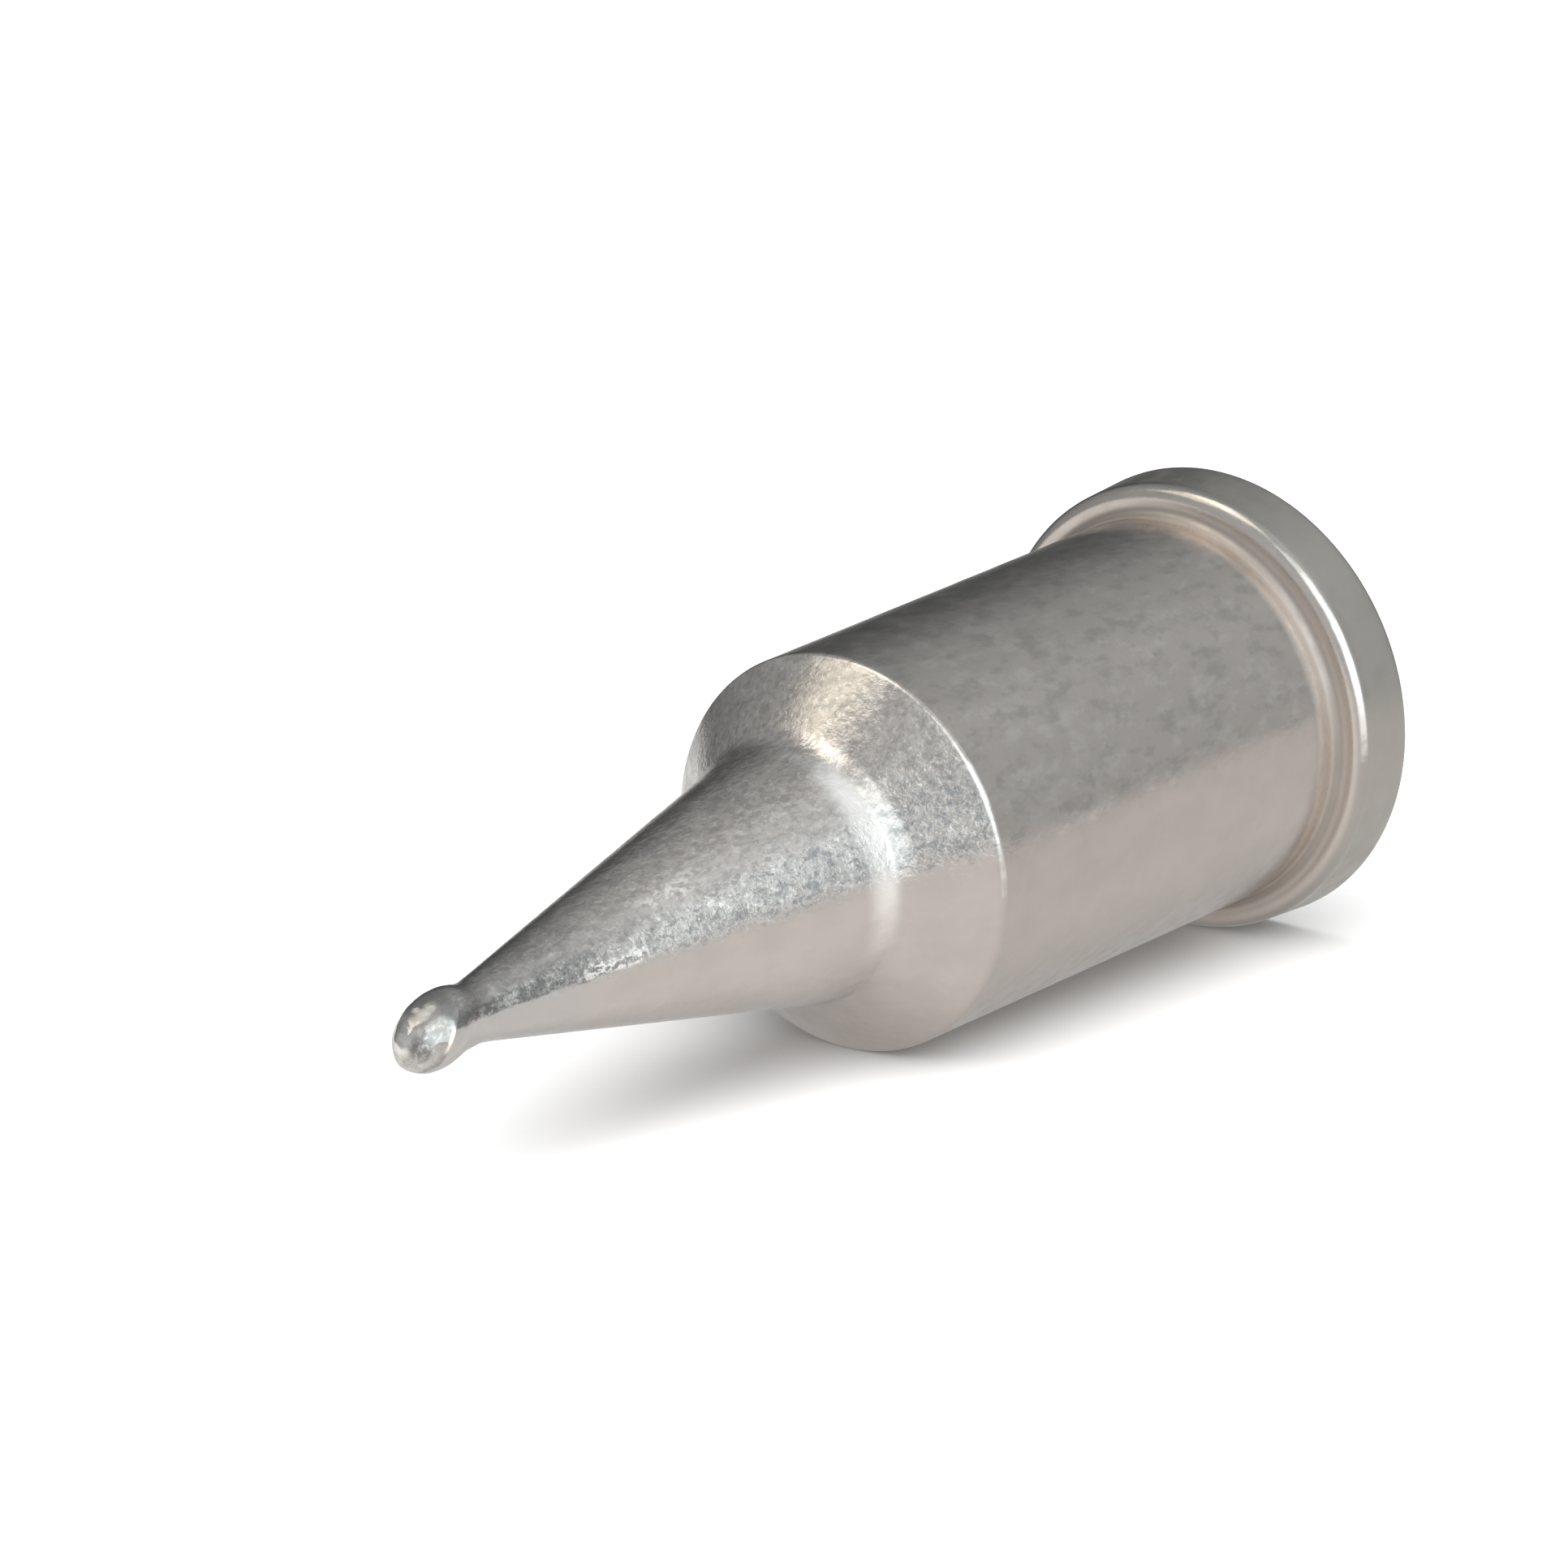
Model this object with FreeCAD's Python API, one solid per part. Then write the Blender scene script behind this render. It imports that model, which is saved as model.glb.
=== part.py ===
import FreeCAD, Part
from FreeCAD import Vector
import math
import os

# Pencil soldering tip, turned from copper and plated: a retaining flange, a plain barrel
# with a blind heater socket, a steep shoulder and a long tapered nose that carries a bead
# of solder. Millimetres. +Z runs along the axis towards the working end. The origin is the
# centre of the flange's rear face, on which the tip stands. The bead leans towards +Y.

# Barrel, its length measured from the rear face to its front edge
barrel_diameter = 6.5
barrel_length = 10.0
barrel_edge_round = 0.12

# Flange at the barrel's rear end, its rim drawn in a little towards the front
flange_lip = 0.53
flange_thickness = 1.22
flange_rim_taper = 0.065
flange_rear_round = 0.15
flange_front_round = 0.24
flange_root_fillet = 0.2

# Shoulder, a cone that runs in from the barrel's front edge to the nose
shoulder_angle = 45.0
shoulder_fillet = 0.8

# Nose, a slender cone measured from the foot of the shoulder
nose_base_diameter = 4.28
nose_end_diameter = 0.62
nose_length = 8.82

# Bead of solder, an egg shape that leans over and hangs a little off the nose's end
bead_length = 1.71
bead_diameter = 1.11
bead_lean_angle = 20.7
bead_sag = 0.04
bead_neck_fillet = 2.0

# Blind heater socket, drilled from the rear, and the solid wall left ahead of it
socket_diameter = 4.3
socket_end_wall = 2.0
socket_lead_in = 0.3
drill_point_angle = 118.0


def cone_height(radius_step, angle_from_axis):
    """Length along the axis over which a cone's radius changes by radius_step."""
    return radius_step / math.tan(math.radians(angle_from_axis))


# Radii and heights that follow from the sizes above
barrel_radius = barrel_diameter / 2
flange_radius = barrel_radius + flange_lip
flange_front_radius = flange_radius - flange_rim_taper
flange_root_round = min(flange_root_fillet, flange_front_radius - barrel_radius - flange_front_round)
nose_base_radius = nose_base_diameter / 2
nose_base_z = barrel_length + cone_height(barrel_radius - nose_base_radius, shoulder_angle)
nose_end_z = nose_base_z + nose_length
socket_radius = socket_diameter / 2
socket_depth = barrel_length - socket_end_wall
socket_point_z = socket_depth + cone_height(socket_radius, drill_point_angle / 2)


def corner_arc(before, corner, after, radius):
    """Start, middle and end of the arc that rounds a corner, tangent to both sides."""
    to_before = (before - corner).normalize()
    to_after = (after - corner).normalize()
    half_angle = to_before.getAngle(to_after) / 2
    reach = radius / math.tan(half_angle)
    inward = (to_before + to_after).normalize()
    middle = corner + inward * (radius / math.sin(half_angle) - radius)
    return corner + to_before * reach, middle, corner + to_after * reach


def rounded_profile(corners):
    """Closed wire in the XZ plane through (radius, height, corner round) points."""
    points = [Vector(radius, 0, height) for radius, height, _ in corners]
    edges = []
    pen = points[0]
    for index in range(1, len(points)):
        start = end = points[index]
        corner_round = corners[index][2]
        if corner_round:
            after = points[(index + 1) % len(points)]
            start, middle, end = corner_arc(points[index - 1], points[index], after, corner_round)
        edges.append(Part.makeLine(pen, start))
        if corner_round:
            edges.append(Part.Arc(start, middle, end).toShape())
        pen = end
    edges.append(Part.makeLine(pen, points[0]))
    return Part.Wire(edges)


def turned_tip():
    """Socket, flange, barrel, shoulder and nose, turned from one profile about Z."""
    profile = rounded_profile([
        (0, socket_point_z, 0),
        (socket_radius, socket_depth, 0),
        (socket_radius, socket_lead_in, 0),
        (socket_radius + socket_lead_in, 0, 0),
        (flange_radius, 0, flange_rear_round),
        (flange_front_radius, flange_thickness, flange_front_round),
        (barrel_radius, flange_thickness, flange_root_round),
        (barrel_radius, barrel_length, barrel_edge_round),
        (nose_base_radius, nose_base_z, shoulder_fillet),
        (nose_end_diameter / 2, nose_end_z, 0),
        (0, nose_end_z, 0),
    ])
    return Part.Face(profile).revolve(Vector(0, 0, 0), Vector(0, 0, 1), 360)


def solder_bead():
    """Egg of solder round the nose's end, its long axis leaning over towards +Y."""
    stretch = FreeCAD.Matrix()
    stretch.scale(bead_diameter / 2, bead_diameter / 2, bead_length / 2)
    bead = Part.makeSphere(1).transformGeometry(stretch)
    bead.rotate(Vector(0, 0, 0), Vector(1, 0, 0), -bead_lean_angle)
    bead.translate(Vector(0, bead_sag, nose_end_z))
    return bead


def soldering_tip():
    """The turned tip with the bead fused on and a smooth neck where the two meet."""
    tip = turned_tip().fuse(solder_bead())
    neck = []
    for edge in tip.Edges:
        surfaces = {type(face.Surface) for face in tip.ancestorsOfType(edge, Part.Face)}
        if surfaces == {Part.Cone, Part.BSplineSurface}:
            neck.append(edge)
    return tip.makeFillet(bead_neck_fillet, neck)


os.makedirs("parts", exist_ok=True)
soldering_tip().exportStep("parts/soldering_tip.step")
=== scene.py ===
import math

import bmesh
import bpy
from mathutils import Matrix, Vector, noise


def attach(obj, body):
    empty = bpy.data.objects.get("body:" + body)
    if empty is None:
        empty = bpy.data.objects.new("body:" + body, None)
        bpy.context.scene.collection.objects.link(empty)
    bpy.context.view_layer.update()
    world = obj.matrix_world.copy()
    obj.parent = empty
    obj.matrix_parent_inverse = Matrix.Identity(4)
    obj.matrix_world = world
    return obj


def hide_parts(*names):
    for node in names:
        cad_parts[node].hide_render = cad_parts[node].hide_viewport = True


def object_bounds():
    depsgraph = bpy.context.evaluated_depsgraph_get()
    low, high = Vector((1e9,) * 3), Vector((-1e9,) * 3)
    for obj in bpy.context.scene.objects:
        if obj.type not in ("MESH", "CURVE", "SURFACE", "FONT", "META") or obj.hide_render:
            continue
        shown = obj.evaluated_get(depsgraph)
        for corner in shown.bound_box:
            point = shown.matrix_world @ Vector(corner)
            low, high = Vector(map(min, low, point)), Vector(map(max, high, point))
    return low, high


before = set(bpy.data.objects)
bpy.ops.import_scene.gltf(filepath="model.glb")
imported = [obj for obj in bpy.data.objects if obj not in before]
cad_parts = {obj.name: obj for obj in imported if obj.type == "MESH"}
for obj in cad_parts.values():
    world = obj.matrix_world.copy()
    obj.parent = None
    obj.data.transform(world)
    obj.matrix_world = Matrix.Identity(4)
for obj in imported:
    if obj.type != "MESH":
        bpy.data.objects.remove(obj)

cad_low, cad_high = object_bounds()
MM = 0.001

# Sizes of the turned tip. The whole length comes from the frame.
tip_top = cad_high.z
barrel_radius = 3.25 * MM
barrel_length = 10.0 * MM
barrel_edge_round = 0.12 * MM
flange_radius = 3.78 * MM
flange_front_radius = 3.715 * MM
flange_thickness = 1.22 * MM
flange_rear_round = 0.15 * MM
flange_front_round = 0.24 * MM
flange_root_round = 0.2 * MM
shoulder_round = 0.8 * MM
nose_base_radius = 2.14 * MM
nose_base_z = 11.11 * MM
nose_end_radius = 0.31 * MM
nose_end_z = 19.93 * MM
socket_radius = 2.15 * MM
socket_depth = 8.0 * MM
socket_lead_in = 0.3 * MM
drill_half_angle = math.radians(59)
socket_point_z = socket_depth + socket_radius / math.tan(drill_half_angle)

# Bead of solder on the nose's end: an egg that leans towards +Y
bead_half_width = 0.555 * MM
bead_half_length = 0.855 * MM
bead_half_height = tip_top - nose_end_z
bead_lean = math.radians(20.7)
bead_sag = 0.04 * MM
neck_start_z = nose_end_z - 0.9 * MM
neck_end_z = nose_end_z - 0.18 * MM
neck_widening = 0.065
lean_start_z = nose_end_z - 1.2 * MM

# Depths below the bead's middle, in millimetres, where the neck's widening, the bead's
# widening and the lean start and are full
neck_widens = (1.18, 0.48)
bead_widens = (0.43, 0.13)
bead_leans = (0.93, 0.13)

# Small dents in the solder: where they start and are full, how deep they are, how far below
# the top they fade out, and the scales and shares of the large and the small ones
wrinkle_start_z = nose_end_z - 0.75 * MM
wrinkle_full_z = nose_end_z - 0.1 * MM
wrinkle_depth = 0.025 * MM
wrinkle_fade = 0.06 * MM
wrinkle_seed = Vector((3.7, 1.9, 5.2))
large_dent_scale = 3.1
small_dent_scale = 8.0
dent_share = 0.1
large_dent_share = 0.55
small_dent_share = 0.15

# Where the solder ends on the neck, a slanted and ragged line, and the low rim there. The
# rim's middle and reach are in millimetres.
solder_start_z = nose_end_z + 0.19 * MM
solder_slant = 0.6
solder_raggedness = 0.05 * MM
solder_ragged_scale = 4.0
rim_height = 0.016 * MM
rim_width = 0.05 * MM
rim_middle = Vector((-0.53, 0.03, 20.19))
rim_reach = 0.3

# Mesh density
turn_steps = 256
neck_rings = 24
straight_step = 0.12 * MM
socket_step = 1.0 * MM
round_segments = 8
bead_rings = 60
merge_distance = 0.0005 * MM


def corner_reach(before, corner, after, radius):
    """How far from its corner a round of this radius starts."""
    half_angle = (before - corner).angle(after - corner) / 2
    return radius / math.tan(half_angle)


def nose_radius(height):
    """Radius of the nose's cone at a height."""
    taper = (nose_base_radius - nose_end_radius) / (nose_end_z - nose_base_z)
    return nose_end_radius + taper * (nose_end_z - height)


def ease(low, high, value):
    """0 at low and before it, 1 at high and past it, with a smooth change between them."""
    share = min(1.0, max(0.0, (value - low) / (high - low)))
    return share * share * (3 - 2 * share)


def egg_radius(height):
    """Radius of the bead, before it leans, at a height."""
    return bead_half_width * math.sqrt(max(0, 1 - ((height - nose_end_z) / bead_half_height) ** 2))


def neck_outline():
    """Points of the smooth neck that joins the nose's cone to the bead."""
    length = neck_end_z - neck_start_z
    first, last = nose_radius(neck_start_z), egg_radius(neck_end_z)
    first_slope = nose_radius(1) - nose_radius(0)
    last_slope = (nose_end_z - neck_end_z) * (bead_half_width / bead_half_height) ** 2 / last
    points = []
    for index in range(neck_rings):
        share = index / neck_rings
        radius = (
            first * (1 + 2 * share) * (1 - share) ** 2
            + first_slope * length * share * (1 - share) ** 2
            + last * share ** 2 * (3 - 2 * share)
            + last_slope * length * share ** 2 * (share - 1))
        points.append(Vector((radius, 0, neck_start_z + length * share)))
    return points


def egg_outline():
    """Points of the bead from its neck to its top."""
    first_angle = -math.asin((nose_end_z - neck_end_z) / bead_half_height)
    points = []
    for index in range(bead_rings + 1):
        angle = first_angle + (math.pi / 2 - first_angle) * index / bead_rings
        radius = bead_half_width * math.cos(angle) if index < bead_rings else 0
        points.append(Vector((radius, 0, nose_end_z + bead_half_height * math.sin(angle))))
    return points


def turned_outline():
    """Corners of the turned profile, each with its round, from the socket's point outwards."""
    return [
        (0, socket_point_z, 0),
        (socket_radius, socket_depth, 0),
        (socket_radius, socket_lead_in, 0),
        (socket_radius + socket_lead_in, 0, 0),
        (flange_radius, 0, flange_rear_round),
        (flange_front_radius, flange_thickness, flange_front_round),
        (barrel_radius, flange_thickness, flange_root_round),
        (barrel_radius, barrel_length, barrel_edge_round),
        (nose_base_radius, nose_base_z, shoulder_round),
    ]


def draw_profile(bm):
    """The profile as a chain of edges in the XZ plane, with its corners rounded."""
    corners = turned_outline()
    end = neck_outline() + egg_outline()
    points = [Vector((radius, 0, height)) for radius, height, _ in corners] + end
    chain = [bm.verts.new(point) for point in points]
    for first, second in zip(chain, chain[1:]):
        bm.edges.new((first, second))
    for index, (_, _, corner_round) in enumerate(corners):
        if corner_round:
            reach = corner_reach(points[index - 1], points[index], points[index + 1], corner_round)
            bmesh.ops.bevel(
                bm, geom=[chain[index]], offset=reach, offset_type="OFFSET", affect="VERTICES",
                segments=round_segments, profile=0.5, material=-1)
    for edge in list(bm.edges):
        inside = max(vert.co.x for vert in edge.verts) < socket_radius + socket_lead_in / 2
        bore = inside and edge.verts[0].co.z < barrel_length
        cuts = int(edge.calc_length() / (socket_step if bore else straight_step))
        if cuts:
            bmesh.ops.subdivide_edges(bm, edges=[edge], cuts=cuts)


def lean_bead(bm):
    """Leans the bead and its neck over towards +Y, as a slanted egg's slices lie."""
    sine = math.sin(bead_lean)
    cosine = math.cos(bead_lean)
    long_part = (bead_half_length * cosine) ** 2 + (bead_half_width * sine) ** 2
    slope = (bead_half_length ** 2 - bead_half_width ** 2) * sine * cosine / long_part
    widening = bead_half_length / math.sqrt(long_part)
    for vert in bm.verts:
        if vert.co.z > lean_start_z:
            below = (nose_end_z - vert.co.z) / MM
            over_neck = neck_widening * ease(*neck_widens, below)
            over_bead = (widening - 1 - neck_widening) * ease(*bead_widens, below)
            share = ease(*bead_leans, below) ** 3
            shift = bead_sag + slope * (vert.co.z - nose_end_z)
            vert.co.y = vert.co.y * (1 + over_neck + over_bead) + shift * share


def solder_edge(place):
    """How far a point lies past the ragged line where the solder ends on the neck."""
    ragged = solder_raggedness * noise.noise(place / MM * solder_ragged_scale)
    return place.z - solder_slant * place.y - solder_start_z + ragged


def wrinkle_end(bm):
    """Dents of about a hundredth of a millimetre in the bead, and a rim where it ends on the neck."""
    bm.normal_update()
    moves = []
    for vert in bm.verts:
        if vert.co.z > wrinkle_start_z:
            place = vert.co / MM
            large = noise.noise(place * large_dent_scale + wrinkle_seed)
            small = noise.noise(place * small_dent_scale - wrinkle_seed)
            dent = wrinkle_depth * (dent_share + large_dent_share * large + small_dent_share * small)
            share = ease(wrinkle_start_z, wrinkle_full_z, vert.co.z)
            share *= ease(tip_top, tip_top - wrinkle_fade, vert.co.z)
            off_rim = solder_edge(vert.co) / rim_width
            off_middle = (place - rim_middle).length / rim_reach
            rim = rim_height * math.exp(-off_rim ** 2 - off_middle ** 2)
            moves.append((vert, vert.normal * (rim - dent * share)))
    for vert, move in moves:
        vert.co += move


def tip_mesh():
    """The whole tip, spun from its profile."""
    bm = bmesh.new()
    draw_profile(bm)
    bmesh.ops.spin(
        bm, geom=list(bm.verts) + list(bm.edges), cent=(0, 0, 0), axis=(0, 0, 1), dvec=(0, 0, 0),
        angle=math.tau, steps=turn_steps, use_merge=True, use_duplicate=False)
    bmesh.ops.remove_doubles(bm, verts=list(bm.verts), dist=merge_distance)
    lean_bead(bm)
    bmesh.ops.recalc_face_normals(bm, faces=list(bm.faces))
    wrinkle_end(bm)
    for face in bm.faces:
        face.smooth = True
        face.material_index = int(solder_edge(face.calc_center_median()) > 0)
    mesh = bpy.data.meshes.new("soldering_tip_finished")
    bm.to_mesh(mesh)
    bm.free()
    return mesh


def node(tree, kind, place, **inputs):
    """A shader node with its input sockets set by name."""
    made = tree.nodes.new(kind)
    made.location = place
    for name, value in inputs.items():
        made.inputs[name.replace("_", " ")].default_value = value
    return made


def beside(value):
    """A place to the right of the node that an output belongs to."""
    return value.node.location + Vector((190, -40))


def maths(tree, operation, first, second):
    """A maths node beside its first value. The second value is a socket or a number."""
    made = node(tree, "ShaderNodeMath", beside(first))
    made.operation = operation
    tree.links.new(first, made.inputs[0])
    if isinstance(second, bpy.types.NodeSocket):
        tree.links.new(second, made.inputs[1])
    else:
        made.inputs[1].default_value = second
    return made.outputs[0]


def times(tree, mask, *others):
    """The product of a mask with other masks and numbers."""
    for other in others:
        mask = maths(tree, "MULTIPLY", mask, other)
    return mask


def rise(tree, value, low, high, bottom=0.0, top=1.0):
    """A smooth change from bottom to top while a value goes from low to high."""
    made = node(
        tree, "ShaderNodeMapRange", beside(value), From_Min=low, From_Max=high, To_Min=bottom, To_Max=top)
    made.interpolation_type = "SMOOTHSTEP"
    tree.links.new(value, made.inputs["Value"])
    return made.outputs[0]


def scaled(tree, mask, bottom, top):
    """A mask as a value: bottom where it is 0, top where it is 1."""
    return rise(tree, mask, 0.0, 1.0, bottom, top)


def band(tree, value, start, full, still, end):
    """A mask that is 1 from full to still and runs out smoothly to start and end."""
    return times(tree, rise(tree, value, start, full), rise(tree, value, end, still))


def along(tree, vector, axis):
    """How far a vector reaches along an axis."""
    made = node(tree, "ShaderNodeVectorMath", beside(vector))
    made.operation = "DOT_PRODUCT"
    made.inputs[1].default_value = axis
    tree.links.new(vector, made.inputs[0])
    return made.outputs["Value"]


def near(tree, vector, centre, inner, outer):
    """A round mask: 1 within the inner distance of a point, 0 beyond the outer one."""
    made = node(tree, "ShaderNodeVectorMath", beside(vector))
    made.operation = "DISTANCE"
    made.inputs[1].default_value = centre
    tree.links.new(vector, made.inputs[0])
    return rise(tree, made.outputs["Value"], outer, inner)


def blend(tree, share, first, second):
    """A mix of two colours, each of them a socket or a colour."""
    made = node(tree, "ShaderNodeMix", beside(share))
    made.data_type = "RGBA"
    tree.links.new(share, made.inputs["Factor"])
    # A mix node keeps its sockets for colours after those for numbers and vectors
    for socket, value in zip((made.inputs[6], made.inputs[7]), (first, second)):
        if isinstance(value, bpy.types.NodeSocket):
            tree.links.new(value, socket)
        else:
            socket.default_value = (*value, 1)
    return made.outputs[2]


def lay(tree, colour, over, mask, *masks, strength=1.0):
    """A colour laid over another one where all the masks are 1, as strongly as given."""
    return blend(tree, times(tree, mask, *masks, strength), colour, over)


def noise_texture(tree, vector, **inputs):
    """Plain noise on a vector, its inputs set by name."""
    made = node(tree, "ShaderNodeTexNoise", beside(vector), **inputs)
    tree.links.new(vector, made.inputs["Vector"])
    return made.outputs["Fac"]


def new_group(name, inputs, outputs):
    """An empty node group with its sockets, and its input and output nodes."""
    group = bpy.data.node_groups.new(name, "ShaderNodeTree")
    for socket_name, kind, value in inputs:
        socket = group.interface.new_socket(socket_name, in_out="INPUT", socket_type=kind)
        if value is not None:
            socket.default_value = value
    for socket_name in outputs:
        group.interface.new_socket(socket_name, in_out="OUTPUT", socket_type="NodeSocketFloat")
    return group, node(group, "NodeGroupInput", (-900, 0)), node(group, "NodeGroupOutput", (900, 0))


def mottling_group():
    """Soft cloudy patches: 0 in the gaps, 1 in the patches."""
    group, entry, leave = new_group(
        "mottling",
        [
            ("Vector", "NodeSocketVector", None),
            ("Scale", "NodeSocketFloat", 1.0),
            ("Detail", "NodeSocketFloat", 3.0),
            ("Distortion", "NodeSocketFloat", 0.0),
            ("Low", "NodeSocketFloat", 0.4),
            ("High", "NodeSocketFloat", 0.6),
        ],
        ["Mask"])
    cloud = node(group, "ShaderNodeTexNoise", (-500, 0), Roughness=0.6)
    for name in ("Vector", "Scale", "Detail", "Distortion"):
        group.links.new(entry.outputs[name], cloud.inputs[name])
    level = node(group, "ShaderNodeMapRange", (0, 0))
    level.interpolation_type = "SMOOTHSTEP"
    group.links.new(cloud.outputs["Fac"], level.inputs["Value"])
    group.links.new(entry.outputs["Low"], level.inputs["From Min"])
    group.links.new(entry.outputs["High"], level.inputs["From Max"])
    group.links.new(level.outputs[0], leave.inputs["Mask"])
    return group


def ring_distance(group, radius, height, ring):
    """How far a point lies from a ring about the axis, given as its radius and height."""
    ring_radius, ring_height = ring
    off_radius = maths(group, "SUBTRACT", radius, ring_radius)
    off_height = maths(group, "SUBTRACT", height, ring_height)
    both = maths(group, "ADD", times(group, off_radius, off_radius), times(group, off_height, off_height))
    return maths(group, "SQRT", both, 0)


def place_group():
    """Where a point lies: its height, its distances from two rings at the flange, and its side."""
    group, entry, leave = new_group(
        "place_on_tip",
        [("Vector", "NodeSocketVector", None)],
        ["Height", "From Corner", "From Root", "Worn Side"])
    outwards = node(group, "ShaderNodeVectorMath", (-700, -100))
    outwards.operation = "MULTIPLY"
    outwards.inputs[1].default_value = (1, 1, 0)
    group.links.new(entry.outputs["Vector"], outwards.inputs[0])
    radius = node(group, "ShaderNodeVectorMath", (-500, 100))
    radius.operation = "LENGTH"
    group.links.new(outwards.outputs[0], radius.inputs[0])
    unit = node(group, "ShaderNodeVectorMath", (-500, -100))
    unit.operation = "NORMALIZE"
    group.links.new(outwards.outputs[0], unit.inputs[0])
    height = along(group, entry.outputs["Vector"], (0, 0, 1))
    corner = ring_distance(group, radius.outputs["Value"], height, corner_ring)
    root = ring_distance(group, radius.outputs["Value"], height, root_ring)
    group.links.new(height, leave.inputs["Height"])
    group.links.new(corner, leave.inputs["From Corner"])
    group.links.new(root, leave.inputs["From Root"])
    group.links.new(along(group, unit.outputs[0], worn_side), leave.inputs["Worn Side"])
    return group


def start_metal(name):
    """A metal with millimetre coordinates ready to use."""
    material = bpy.data.materials.new(name)
    material.use_nodes = True
    tree = material.node_tree
    shader = tree.nodes["Principled BSDF"]
    shader.inputs["Metallic"].default_value = 1
    place = node(tree, "ShaderNodeTexCoord", (-2400, 0))
    millimetres = node(tree, "ShaderNodeVectorMath", (-2200, 0))
    millimetres.operation = "SCALE"
    millimetres.inputs["Scale"].default_value = 1 / MM
    tree.links.new(place.outputs["Object"], millimetres.inputs[0])
    return material, tree, shader, millimetres.outputs[0]


def shared_group(tree, name, vector, **inputs):
    """The outputs of a shared group on a vector, its other inputs set by name."""
    made = node(tree, "ShaderNodeGroup", beside(vector))
    made.node_tree = shared[name]
    tree.links.new(vector, made.inputs["Vector"])
    for socket, value in inputs.items():
        made.inputs[socket].default_value = value
    return made.outputs


def mottling(tree, vector, **inputs):
    """The shared mottling as a mask, its inputs set by name."""
    return shared_group(tree, "mottling", vector, **inputs)["Mask"]


def add_bump(tree, shader, height, distance):
    """Bump from a height into the metal's normal."""
    bump = node(tree, "ShaderNodeBump", beside(height), Strength=1.0, Distance=distance)
    tree.links.new(height, bump.inputs["Height"])
    tree.links.new(bump.outputs["Normal"], shader.inputs["Normal"])


# The side that is worn, and rings in the flange's corner: radius and height in millimetres
worn_side = (0.1, -0.995, 0)
corner_ring = (3.31, 1.28)
root_ring = (3.32, 1.38)

# Colours of the plating and of what lies on it
flange_colour = (0.375, 0.355, 0.32)
barrel_colour = (0.435, 0.392, 0.355)
nose_colour = (0.535, 0.482, 0.445)
nose_end_colour = (0.51, 0.485, 0.46)
cloud_colour = (0.30, 0.275, 0.25)
worn_colour = (0.46, 0.43, 0.39)
pale_colour = (0.66, 0.64, 0.60)
stain_colour = (0.23, 0.225, 0.215)
# Pale streak on the nose: worn plating, lightened further as a painted highlight
streak_and_highlight_colour = (0.68, 0.655, 0.62)
blue_stain_colour = (0.20, 0.215, 0.225)
# Bright bare metal, also painted as highlights on the edges and on the solder
rubbed_and_highlight_colour = (0.9, 0.87, 0.82)
# Painted pale reflection of the flange on the barrel next to its corner
flange_reflection_colour = (0.62, 0.555, 0.50)
soot_colour = (0.15, 0.145, 0.14)
# Painted dark line of shade in the flange's corner
corner_shade_colour = (0.12, 0.095, 0.075)

# Heights, in millimetres, over which one look of the plating goes over into the next
past_flange = (1.0, 1.3)
past_barrel = (9.9, 10.1)
past_foot = (11.5, 11.8)
past_blue = (13.0, 14.5)
towards_nose_end = (16.0, 18.5)
light_soot_heights = (15.2, 16.6)
thick_soot_heights = (16.6, 17.8)
coarser_heights = (9.0, 11.0)
dull_rim_heights = (0.85, 1.0)

# Heights where bands start, are full, are full still, and end
streak_heights = (11.3, 11.6, 15.6, 17.2)
low_fleck_heights = (15.9, 16.3, 17.1, 17.6)
high_fleck_heights = (14.6, 15.0, 15.6, 16.0)
flange_edge_highlight = (1.03, 1.08, 1.13, 1.17)
barrel_edge_highlight = (9.92, 9.96, 10.02, 10.05)
rubbed_and_highlit_foot = (11.12, 11.38, 11.46, 11.9)

# How far a point faces the worn side, 1 in its middle and -1 away from it: where the wear
# starts, the streak ends and the upper part round the middle starts, and then the bands of
# the marks
worn_border = (0.08, 0.17)
streak_border = (0.8, 0.5)
upper_border = (0.45, 0.6)
fleck_sides = (0.08, 0.14, 0.5, 0.8)
low_fleck_sides = (0.08, 0.16, 0.26, 0.42)
high_fleck_sides = (0.64, 0.72, 0.8, 0.88)
edge_highlight_sides = (-0.15, 0.08, 0.5, 0.78)
rubbed_and_highlit_foot_sides = (-0.6, 0.15, 0.84, 1.06)

# Distances from the rings in the flange's corner, in millimetres: where the painted reflection of the
# flange and the painted shade in the corner start and are full, and where the dull corner is still full
# and ends
flange_reflection_reach = (0.43, 0.26)
corner_shade_reach = (0.14, 0.04)
dull_corner_reach = (0.1, 0.3)

# How strong the soot is low and high on the worn side, and how strong the painted edge highlights and the
# grain are at the least and at the most
soot_range = (0.82, 0.35)
edge_highlight_range = (0.3, 1.0)
grain_range = (0.2, 1.0)

# How strong the fine flecks are in each patch, how ragged the worn side's border is, and how
# far off the noise's middle value a line starts and is full
low_fleck_share = 0.9
high_fleck_share = 0.5
raggedness = 0.1
line_width = (0.05, 0.005)

# How the marks are drawn out along the axis, how rough the plating is, how much duller its
# rim and its corner are, and how high its grain is
drawn_out = (1, 1, 0.6)
plating_roughness_range = (0.17, 0.27)
rim_dullness = 0.14
corner_dullness = 0.25
grain_height = 0.012 * MM

# Colours of the solder
solder_colour = (0.63, 0.60, 0.56)
dull_solder_colour = (0.46, 0.44, 0.41)
grey_solder_colour = (0.24, 0.235, 0.225)
speck_colour = (0.17, 0.165, 0.15)
# Painted highlight along the solder's edge
crescent_highlight_colour = (0.98, 0.87, 0.74)
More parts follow.
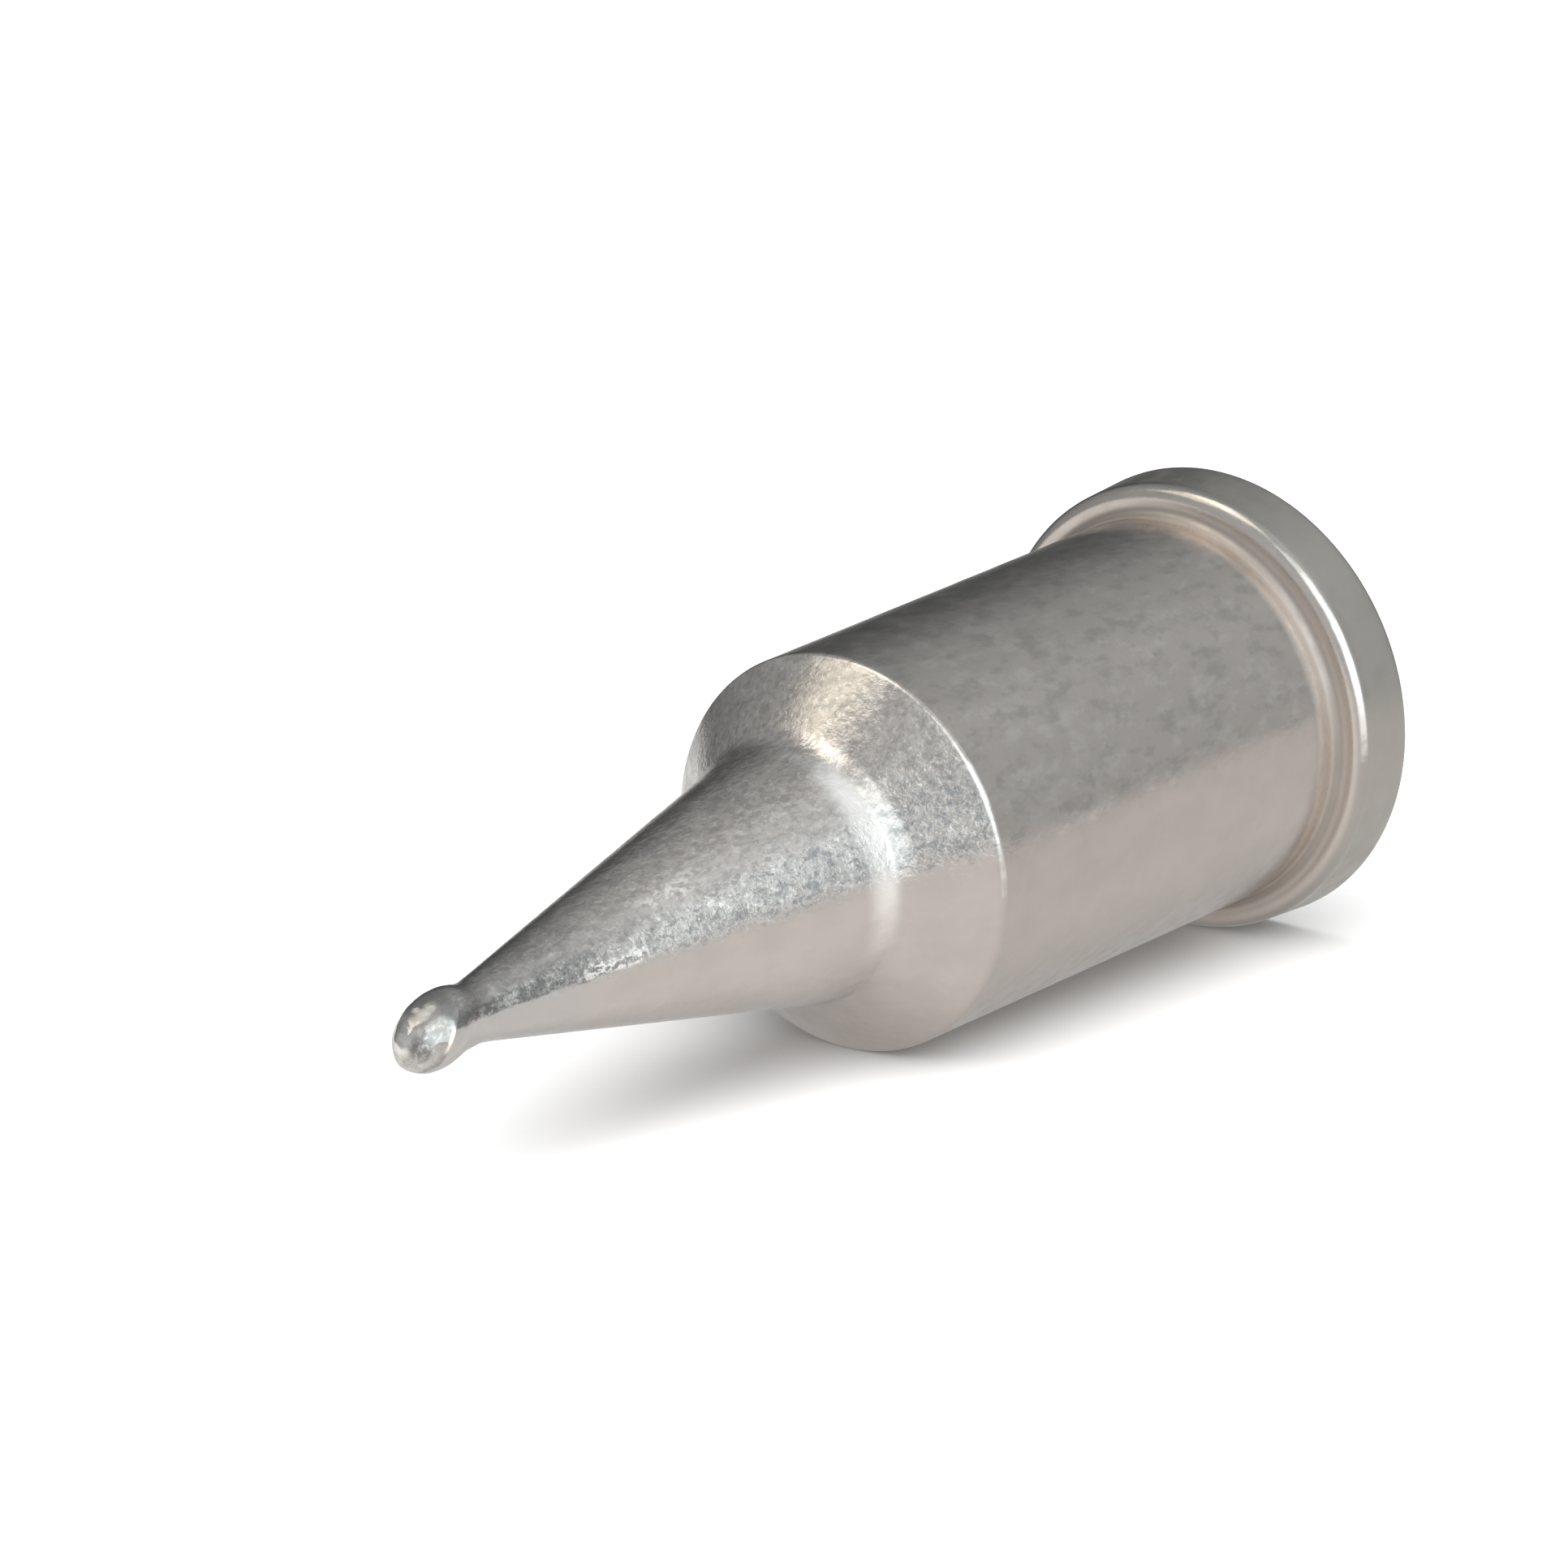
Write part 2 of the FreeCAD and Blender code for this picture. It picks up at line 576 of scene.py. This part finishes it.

# Patches on the solder, of which the glare and the crescent are painted highlights: the middle of each,
# and how far from it the patch is full and ends
grey_patch = ((-0.12, -0.42, 20.14), 0.3, 0.52)
dark_patch = ((-0.3, 0.09, 20.6), 0.1, 0.28)
stroke_patch = ((0.05, -0.385, 20.31), 0.03, 0.1)
glare_patch = ((0.02, 0.06, 20.73), 0.08, 0.24)
mirror_patch = ((-0.42, -0.14, 20.3), 0.12, 0.3)
crescent_highlight_patch = (rim_middle, 0.12, 0.28)

# Past the solder's edge, in millimetres: the band of the painted crescent highlight, and how far the edge
# is grey
crescent_highlight_band = (0.0, 0.02, 0.05, 0.1)
edge_grey_reach = 0.22

# How strong the grey is at the edge and in its patch, how rough the solder is where it is
# bright and where it is dull, and how high its ripples are
edge_grey_share = 0.6
grey_share = 0.92
solder_roughness_range = (0.12, 0.3)
ripple_height = 0.007 * MM


def clean_plating(tree, vector, height):
    """Clouded plating, darker on the flange and the barrel and paler on the nose."""
    colour = blend(tree, rise(tree, height, *past_flange), flange_colour, barrel_colour)
    colour = blend(tree, rise(tree, height, *past_barrel), colour, nose_colour)
    colour = blend(tree, rise(tree, height, *towards_nose_end), colour, nose_end_colour)
    cloudy = mottling(tree, vector, Scale=1.6, Detail=6.0, Low=0.35, High=0.65)
    return lay(tree, colour, cloud_colour, cloudy, strength=0.14)


def add_wear(tree, vector, colour, worn, on_nose):
    """Dull, mottled metal on the worn side, grainy on the shoulder and the nose."""
    pale = mottling(tree, vector, Scale=2.8, Detail=4.0, Low=0.48, High=0.66)
    dark = mottling(tree, vector, Scale=3.2, Detail=4.0, Low=0.48, High=0.68)
    grain = mottling(tree, vector, Scale=8.5, Detail=4.0, Distortion=0.3, Low=0.46, High=0.6)
    glints = mottling(tree, vector, Scale=10.0, Detail=3.0, Low=0.54, High=0.64)
    colour = lay(tree, colour, worn_colour, worn, strength=0.5)
    colour = lay(tree, colour, pale_colour, pale, worn, strength=0.22)
    colour = lay(tree, colour, stain_colour, dark, worn, strength=0.34)
    colour = lay(tree, colour, stain_colour, grain, on_nose, strength=0.36)
    return lay(tree, colour, pale_colour, glints, on_nose, strength=0.45)


def add_streak(tree, vector, colour, streak, height):
    """A pale streak up the nose, partly worn plating and partly a painted highlight, with blue-grey spots
    and fine worm-like lines.
    """
    cloud = noise_texture(tree, vector, Scale=8.0, Detail=2.0, Roughness=0.5, Distortion=1.0)
    off_line = maths(tree, "ABSOLUTE", maths(tree, "SUBTRACT", cloud, 0.5), 0)
    lines = rise(tree, off_line, *line_width)
    spots = mottling(tree, vector, Scale=7.5, Detail=3.0, Distortion=0.5, Low=0.5, High=0.62)
    stain = blend(tree, rise(tree, height, *past_blue), blue_stain_colour, stain_colour)
    up_nose = band(tree, height, *streak_heights)
    colour = lay(tree, colour, streak_and_highlight_colour, streak, up_nose, strength=0.55)
    colour = lay(tree, colour, stain, lines, streak, strength=0.35)
    return lay(tree, colour, stain, spots, streak, strength=0.55)


def add_soot(tree, vector, colour, on_nose, side, height):
    """Soot towards the nose's end, thicker low on the worn side."""
    upper = times(tree, on_nose, rise(tree, side, *upper_border))
    sooted = mottling(tree, vector, Scale=7.0, Detail=4.0, Low=0.3, High=0.55)
    light = rise(tree, height, *light_soot_heights)
    thick = rise(tree, height, *thick_soot_heights)
    colour = lay(tree, colour, soot_colour, upper, light, strength=0.2)
    return lay(tree, colour, soot_colour, sooted, on_nose, thick, scaled(tree, upper, *soot_range))


def add_flecks(tree, vector, colour, on_nose, side, height):
    """Bright bare flecks, strewn over the streak and close together in two patches."""
    flecks = mottling(tree, vector, Scale=7.0, Detail=3.0, Low=0.56, High=0.66)
    fine = mottling(tree, vector, Scale=10.0, Detail=2.0, Low=0.46, High=0.54)
    strewn = mottling(tree, vector, Scale=1.1, Detail=2.0, Low=0.42, High=0.6)
    beside_border = band(tree, side, *fleck_sides)
    above_foot = rise(tree, height, *past_foot)
    low_patch = times(
        tree, band(tree, height, *low_fleck_heights), band(tree, side, *low_fleck_sides),
        low_fleck_share)
    high_patch = times(
        tree, band(tree, height, *high_fleck_heights), band(tree, side, *high_fleck_sides),
        high_fleck_share)
    patches = maths(tree, "MAXIMUM", low_patch, high_patch)
    colour = lay(
        tree, colour, rubbed_and_highlight_colour, flecks, strewn, beside_border, on_nose, above_foot, strength=0.7)
    return lay(tree, colour, rubbed_and_highlight_colour, fine, on_nose, patches)


def mark_corner(tree, colour, on_tip):
    """A painted pale reflection of the flange on the barrel round its corner, and a painted dark line of
    shade in the corner.
    """
    flange_reflection = rise(tree, on_tip["From Root"], *flange_reflection_reach)
    shaded_corner = rise(tree, on_tip["From Corner"], *corner_shade_reach)
    colour = lay(tree, colour, flange_reflection_colour, flange_reflection)
    return lay(tree, colour, corner_shade_colour, shaded_corner, strength=0.5)


def rub_and_highlight_edges(tree, vector, colour, side, height):
    """Painted highlights along the flange's edge and the barrel's edge, and the foot of the nose partly
    rubbed bright and partly a painted highlight.
    """
    uneven = mottling(tree, vector, Scale=0.7, Detail=2.0, Low=0.4, High=0.5)
    edges = maths(tree, "MAXIMUM", band(tree, height, *flange_edge_highlight), band(tree, height, *barrel_edge_highlight))
    edges = times(tree, edges, scaled(tree, uneven, *edge_highlight_range), band(tree, side, *edge_highlight_sides))
    foot = times(tree, band(tree, height, *rubbed_and_highlit_foot), band(tree, side, *rubbed_and_highlit_foot_sides))
    return lay(tree, colour, rubbed_and_highlight_colour, maths(tree, "MAXIMUM", edges, foot), strength=0.88)


def plating_roughness(tree, vector, on_tip):
    """Satin, duller on the flange's rim and in its corner."""
    cloud = mottling(tree, vector, Scale=2.2, Detail=4.0, Low=0.3, High=0.7)
    rough = scaled(tree, cloud, *plating_roughness_range)
    rim = rise(tree, on_tip["Height"], *dull_rim_heights, rim_dullness, 0.0)
    corner = rise(tree, on_tip["From Corner"], *dull_corner_reach, corner_dullness, 0.0)
    return maths(tree, "ADD", rough, maths(tree, "ADD", rim, corner))


def plated_metal():
    """Satin plating, tarnished by heat, with a grain that gets coarser up the nose."""
    material, tree, shader, vector = start_metal("satin_plating")
    on_tip = shared_group(tree, "place", vector)
    height = on_tip["Height"]
    drawn = node(tree, "ShaderNodeVectorMath", (-1800, -300))
    drawn.operation = "MULTIPLY"
    drawn.inputs[1].default_value = drawn_out
    tree.links.new(vector, drawn.inputs[0])
    marks = drawn.outputs[0]

    ragged = times(tree, mottling(tree, marks, Scale=4.0, Detail=4.0, Low=0.3, High=0.7), raggedness)
    side = maths(tree, "ADD", on_tip["Worn Side"], ragged)
    worn = times(tree, rise(tree, side, *worn_border), rise(tree, height, *past_flange))
    on_nose = times(tree, worn, rise(tree, height, *past_barrel))
    streak = times(tree, on_nose, rise(tree, side, *streak_border))

    colour = clean_plating(tree, marks, height)
    colour = add_wear(tree, marks, colour, worn, on_nose)
    colour = add_streak(tree, marks, colour, streak, height)
    colour = add_soot(tree, marks, colour, on_nose, side, height)
    colour = add_flecks(tree, marks, colour, on_nose, side, height)
    colour = mark_corner(tree, colour, on_tip)
    colour = rub_and_highlight_edges(tree, marks, colour, side, height)
    tree.links.new(colour, shader.inputs["Base Color"])
    tree.links.new(plating_roughness(tree, vector, on_tip), shader.inputs["Roughness"])

    grain = noise_texture(tree, vector, Scale=8.0, Detail=4.0, Roughness=0.62, Distortion=0.2)
    coarse = rise(tree, height, *coarser_heights, *grain_range)
    add_bump(tree, shader, times(tree, grain, coarse), grain_height)
    return material


def wet_solder():
    """Bright solder that set wet, grey towards the neck, with dull specks, a bright stroke, and painted
    highlights: a glare and a crescent at the solder's edge.
    """
    material, tree, shader, vector = start_metal("wet_solder")
    past_edge = maths(tree, "SUBTRACT", along(tree, vector, (0, -solder_slant, 1)), solder_start_z / MM)
    soft = mottling(tree, vector, Scale=3.6, Detail=5.0, Distortion=0.4, Low=0.4, High=0.66)
    scratchy = mottling(tree, vector, Scale=8.0, Detail=5.0, Distortion=0.8, Low=0.4, High=0.65)
    specks = mottling(tree, vector, Scale=12.0, Detail=4.0, Low=0.36, High=0.56)
    grey = times(tree, near(tree, vector, *grey_patch), grey_share)
    grey = maths(tree, "MAXIMUM", grey, rise(tree, past_edge, edge_grey_reach, 0.0, 0.0, edge_grey_share))
    dark = times(tree, near(tree, vector, *dark_patch), specks)
    # Painted crescent highlight at the solder's edge
    crescent_highlight = times(tree, near(tree, vector, *crescent_highlight_patch), band(tree, past_edge, *crescent_highlight_band))
    unscratched = rise(tree, scratchy, 1.0, 0.6)
    stroke = times(tree, near(tree, vector, *stroke_patch), unscratched)
    mirrored = near(tree, vector, *mirror_patch)

    colour = blend(tree, soft, solder_colour, dull_solder_colour)
    colour = lay(tree, colour, grey_solder_colour, grey)
    colour = lay(tree, colour, speck_colour, scratchy, strength=0.28)
    colour = lay(tree, colour, dull_solder_colour, mirrored, strength=0.75)
    colour = lay(tree, colour, speck_colour, specks, mirrored, strength=0.5)
    # Painted glare highlight on the solder
    colour = lay(tree, colour, rubbed_and_highlight_colour, near(tree, vector, *glare_patch), strength=0.8)
    colour = lay(tree, colour, speck_colour, dark, strength=0.8)
    colour = lay(tree, colour, crescent_highlight_colour, maths(tree, "MAXIMUM", crescent_highlight, stroke), strength=0.9)
    tree.links.new(colour, shader.inputs["Base Color"])
    dull = maths(tree, "MAXIMUM", grey, maths(tree, "MAXIMUM", dark, crescent_highlight))
    tree.links.new(scaled(tree, dull, *solder_roughness_range), shader.inputs["Roughness"])
    ripple = noise_texture(tree, vector, Scale=6.0, Detail=4.0, Roughness=0.55)
    add_bump(tree, shader, ripple, ripple_height)
    return material


shared = {"mottling": mottling_group(), "place": place_group()}

# Directions of the photograph's setting in the frame: its floor stands upright beside the tip
floor_tilt = math.atan2(flange_radius - barrel_radius, barrel_length)
floor_up = Vector((0, -math.cos(floor_tilt), -math.sin(floor_tilt)))
camera_right = Vector((-0.78202, 0.03369, -0.62234))
camera_back = Vector((-0.60029, -0.30925, 0.73757))
camera_place = Vector((-121.248, -63.980, 160.338)) * MM
camera_lens = 297.13
towards_camera = camera_right.cross(floor_up).normalized()
floor_right = floor_up.cross(towards_camera).normalized()


def direction(azimuth, elevation):
    """A direction over the photograph's floor: azimuth 0 to the camera, 90 to the right."""
    turn = math.radians(azimuth)
    lift = math.radians(elevation)
    level = towards_camera * math.cos(turn) + floor_right * math.sin(turn)
    return level * math.cos(lift) + floor_up * math.sin(lift)


def add_camera():
    """Camera at the photograph's place, turned and rolled as its picture is."""
    data = bpy.data.cameras.new("camera")
    data.lens = camera_lens
    data.sensor_width = 36
    data.clip_start = 0.01
    data.clip_end = 10
    camera = bpy.data.objects.new("camera", data)
    bpy.context.scene.collection.objects.link(camera)
    up = camera_back.cross(camera_right).normalized()
    turn = Matrix((camera_right, up, camera_back)).transposed().to_4x4()
    camera.matrix_world = Matrix.Translation(camera_place) @ turn
    bpy.context.scene.camera = camera


# The floor as it is seen: half its width in metres, its glow and colour, and how edge-on it
# is where it starts to clear and where it is clear
floor_half_size = 0.6
floor_glow = 0.05
floor_colour = (0.8, 0.8, 0.8)
edge_on_start = 0.9
edge_on_full = 0.96

# The floor as the metal mirrors it: its glow and grey, and its share far off and behind the
# tip, with the distances in metres over which it comes down to that
mirrored_floor_glow = 0.35
mirrored_floor_colour = 0.345
floor_far = (0.045, 0.065)
floor_far_level = 0.85
floor_behind = (-0.02, -0.06)
floor_behind_level = 0.15

# The world's light on what is matt
world_level = 0.42

# The wide overhead lamp: strength, width in degrees, azimuth and elevation
overhead_strength = 5.0
overhead_width = 78
overhead_place = (4, 58)


def pale_rays(tree):
    """1 for rays from the camera, from gloss and through glass, 0 for others."""
    light_path = node(tree, "ShaderNodeLightPath", (-1000, -300))
    rays = light_path.outputs["Is Camera Ray"]
    for other in ("Is Glossy Ray", "Is Transmission Ray"):
        rays = maths(tree, "MAXIMUM", rays, light_path.outputs[other])
    return rays


def mirrored_floor(tree):
    """The floor's level in the metal: a little less far off and low behind the tip."""
    place = node(tree, "ShaderNodeTexCoord", (-2000, 400))
    away = node(tree, "ShaderNodeVectorMath", (-1800, 500))
    away.operation = "LENGTH"
    tree.links.new(place.outputs["Object"], away.inputs[0])
    far = rise(tree, away.outputs["Value"], *floor_far, 1.0, floor_far_level)
    forwards = along(tree, place.outputs["Object"], towards_camera)
    behind = rise(tree, forwards, *floor_behind, 1.0, floor_behind_level)
    return times(tree, far, behind)


def floor_material():
    """White where it is lit, with the tip's shadow kept, and clear from behind and edge-on."""
    material = bpy.data.materials.new("floor_white")
    material.use_nodes = True
    tree = material.node_tree
    tree.nodes.clear()
    output = node(tree, "ShaderNodeOutputMaterial", (900, 0))
    light_path = node(tree, "ShaderNodeLightPath", (-1000, 0))
    in_metal = light_path.outputs["Is Glossy Ray"]
    level = mirrored_floor(tree)
    diffuse = node(tree, "ShaderNodeBsdfDiffuse", (0, 0))
    shade = blend(tree, in_metal, floor_colour, times(tree, level, mirrored_floor_colour))
    tree.links.new(shade, diffuse.inputs["Color"])
    glow = node(tree, "ShaderNodeEmission", (0, -200), Color=(1, 1, 1, 1))
    metal = times(tree, in_metal, mirrored_floor_glow, level)
    strength = maths(tree, "ADD", times(tree, pale_rays(tree), floor_glow), metal)
    tree.links.new(strength, glow.inputs["Strength"])
    both = node(tree, "ShaderNodeAddShader", (200, 0))
    tree.links.new(diffuse.outputs[0], both.inputs[0])
    tree.links.new(glow.outputs[0], both.inputs[1])
    side = node(tree, "ShaderNodeNewGeometry", (200, 300))
    slant = node(tree, "ShaderNodeLayerWeight", (-200, 500), Blend=0.5)
    edge_on = rise(tree, slant.outputs["Facing"], edge_on_start, edge_on_full)
    edge_on = times(tree, edge_on, light_path.outputs["Is Camera Ray"])
    clear = node(tree, "ShaderNodeBsdfTransparent", (200, -200))
    mix = node(tree, "ShaderNodeMixShader", (600, 0))
    tree.links.new(maths(tree, "MAXIMUM", edge_on, side.outputs["Backfacing"]), mix.inputs[0])
    tree.links.new(both.outputs[0], mix.inputs[1])
    tree.links.new(clear.outputs[0], mix.inputs[2])
    tree.links.new(mix.outputs[0], output.inputs["Surface"])
    return material


def add_floor():
    """The floor that the tip lies on in the photograph, touching its flange and barrel."""
    bm = bmesh.new()
    bmesh.ops.create_grid(bm, x_segments=1, y_segments=1, size=floor_half_size)
    turn = Matrix((towards_camera, floor_right, floor_up)).transposed().to_4x4()
    contact = Vector((0, flange_radius, 0))
    bmesh.ops.transform(bm, matrix=Matrix.Translation(contact) @ turn, verts=list(bm.verts))
    bm.normal_update()
    if bm.faces[:][0].normal.dot(floor_up) < 0:
        bmesh.ops.reverse_faces(bm, faces=list(bm.faces))
    mesh = bpy.data.meshes.new("floor")
    bm.to_mesh(mesh)
    bm.free()
    floor = bpy.data.objects.new("floor", mesh)
    bpy.context.scene.collection.objects.link(floor)
    mesh.materials.append(floor_material())


# The studio's walls: their plain and least levels, where they end below the axis, and brighter
# and darker patches on them, each with its direction, its strength, and the angles within which
# it is full and beyond which it ends
wall_level = 0.55
wall_least_level = 0.06
wall_foot = -0.0036
wall_colour = (0.96, 1.0, 1.04, 1)
wall_slope = floor_right * 0.17 + floor_up * 0.2 + towards_camera * 0.26
wall_patches = (
    (direction(180, 6), -0.2, 8, 38),
    (direction(-124, 24), 0.1, 10, 35),
    (direction(95, 60), 0.22, 8, 30))


def tent_material():
    """Grey studio walls, darker behind the tip and lighter above, beside and before it."""
    material = bpy.data.materials.new("studio_grey")
    material.use_nodes = True
    tree = material.node_tree
    tree.nodes.clear()
    output = node(tree, "ShaderNodeOutputMaterial", (900, 0))
    glow = node(tree, "ShaderNodeEmission", (600, 0), Color=wall_colour)
    place = node(tree, "ShaderNodeTexCoord", (-900, 0))
    unit = node(tree, "ShaderNodeVectorMath", (-700, 0))
    unit.operation = "NORMALIZE"
    tree.links.new(place.outputs["Object"], unit.inputs[0])
    level = maths(tree, "ADD", along(tree, unit.outputs[0], wall_slope), wall_level)
    for middle, strength, inner, outer in wall_patches:
        facing = along(tree, unit.outputs[0], middle)
        patch = rise(tree, facing, math.cos(math.radians(outer)), math.cos(math.radians(inner)))
        level = maths(tree, "ADD", level, times(tree, patch, strength))
    tree.links.new(maths(tree, "MAXIMUM", level, wall_least_level), glow.inputs["Strength"])
    tree.links.new(glow.outputs[0], output.inputs["Surface"])
    return material


def add_tent():
    """Studio walls and ceiling on the floor's lit side, seen only in the metal."""
    bm = bmesh.new()
    bmesh.ops.create_icosphere(bm, subdivisions=5, radius=0.5)
    bmesh.ops.bisect_plane(
        bm, geom=list(bm.verts) + list(bm.edges) + list(bm.faces), plane_co=floor_up * wall_foot,
        plane_no=floor_up, clear_inner=True)
    mesh = bpy.data.meshes.new("studio_walls")
    bm.to_mesh(mesh)
    bm.free()
    tent = bpy.data.objects.new("studio_walls", mesh)
    bpy.context.scene.collection.objects.link(tent)
    mesh.materials.append(tent_material())
    tent.visible_camera = False
    tent.visible_diffuse = False
    tent.visible_shadow = False


def add_overhead():
    """The wide lamp above the floor that casts the tip's soft shadow."""
    data = bpy.data.lights.new("overhead", "SUN")
    data.energy = overhead_strength
    data.angle = math.radians(overhead_width)
    lamp = bpy.data.objects.new("overhead", data)
    bpy.context.scene.collection.objects.link(lamp)
    lamp.matrix_world = direction(*overhead_place).to_track_quat("Z", "Y").to_matrix().to_4x4()
    lamp.visible_glossy = False


# Softboxes: azimuth and elevation, width and height in metres, radiance and colour
softbox_distance = 0.3
softboxes = (
    ("key", (40, 18), (0.3, 0.3), 1.2, (0.86, 1.0, 1.07)),
    ("upper_key", (25, 52), (0.2, 0.17), 1.1, (0.93, 1.0, 1.0)),
    ("window", (-91, 62), (0.13, 0.22), 1.22, (1.0, 0.93, 0.79)),
    ("ceiling", (-90, 76), (0.16, 0.16), 1.35, (1.0, 0.97, 0.9)))


def add_softbox(name, place, size, radiance, colour):
    """A rectangular lamp that faces the tip and is seen only in the metal."""
    data = bpy.data.lights.new(name, "AREA")
    data.shape = "RECTANGLE"
    data.size, data.size_y = size
    data.energy = radiance * math.pi * data.size * data.size_y
    data.color = colour
    lamp = bpy.data.objects.new(name, data)
    bpy.context.scene.collection.objects.link(lamp)
    back = direction(*place)
    across = floor_up.cross(back).normalized()
    turn = Matrix((across, back.cross(across), back)).transposed().to_4x4()
    centre = Vector((0, 0, barrel_length))
    lamp.matrix_world = Matrix.Translation(centre + back * softbox_distance) @ turn
    lamp.visible_camera = False
    lamp.visible_diffuse = False


def add_world():
    """White for the camera and for gloss, and a plain grey light for the rest."""
    world = bpy.data.worlds.new("world")
    bpy.context.scene.world = world
    world.use_nodes = True
    tree = world.node_tree
    background = tree.nodes["Background"]
    background.inputs["Color"].default_value = (1, 1, 1, 1)
    tree.links.new(scaled(tree, pale_rays(tree), world_level, 1.0), background.inputs["Strength"])


tip = bpy.data.objects.new("finished_tip", tip_mesh())
bpy.context.scene.collection.objects.link(tip)
tip.data.materials.append(plated_metal())
tip.data.materials.append(wet_solder())
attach(tip, "root")
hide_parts("soldering_tip")

add_floor()
add_tent()
add_world()
add_overhead()
for name, place, size, radiance, colour in softboxes:
    add_softbox(name, place, size, radiance, colour)
add_camera()
bpy.context.scene.view_settings.view_transform = "Standard"
